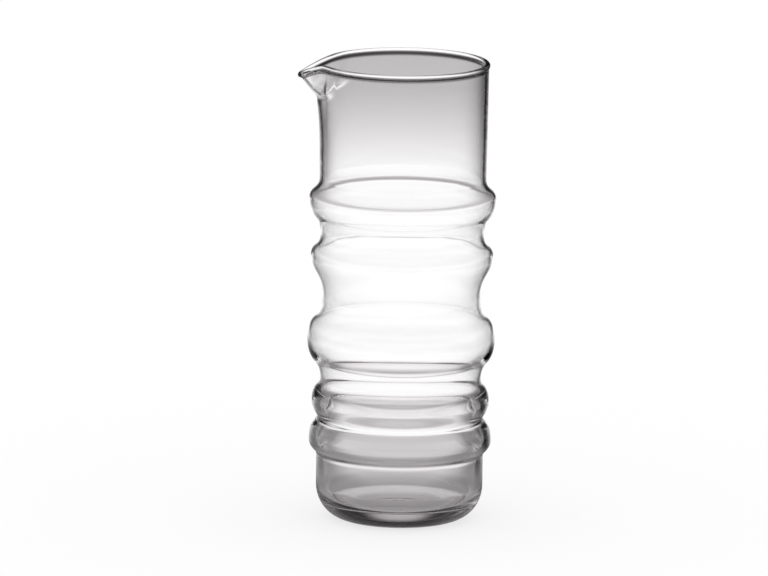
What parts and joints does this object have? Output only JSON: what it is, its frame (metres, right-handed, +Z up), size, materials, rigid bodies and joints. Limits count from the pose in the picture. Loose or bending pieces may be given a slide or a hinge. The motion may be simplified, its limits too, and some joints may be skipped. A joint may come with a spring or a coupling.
{
  "type": "water carafe",
  "caption": "Tall round glass carafe with bulging rings round its lower body, an open mouth with a rounded rim and a pulled pouring spout.",
  "frame": {"origin": "centre of the underside, on the carafe's axis and in the plane of the ring that it stands on", "axes": "+Z up along the carafe's axis; the spout points to -X; the carafe is its own mirror image across the XZ plane"},
  "size_m": [0.1038, 0.0974, 0.2401],
  "materials": {
    "clear_glass": "clear blown soda-lime glass, fire-polished rim"
  },
  "bodies": {
    "root": {"glass_carafe": "clear_glass"}
  },
  "joints": []
}
